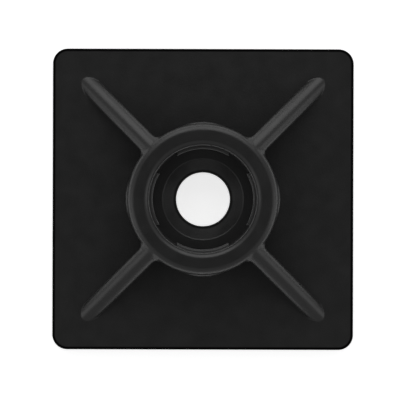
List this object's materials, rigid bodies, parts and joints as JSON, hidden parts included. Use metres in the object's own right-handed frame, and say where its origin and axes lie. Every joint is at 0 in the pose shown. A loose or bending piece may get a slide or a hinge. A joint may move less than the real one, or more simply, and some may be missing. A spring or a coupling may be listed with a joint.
{
  "type": "cable tie mount",
  "caption": "Square four-way cable tie base with a raised slotted ring, diagonal ribs and a countersunk screw hole.",
  "frame": {"origin": "centre of the base plate's flat underside, on the axis of the screw hole", "axes": "+Z out of the mounting surface along the screw hole's axis; X and Y along the plate's sides and the two tie slots"},
  "size_m": [0.028, 0.028, 0.0062],
  "materials": {
    "black_nylon": "satin, fine moulded texture"
  },
  "bodies": {
    "root": {"mount_body": "black_nylon"}
  },
  "joints": []
}
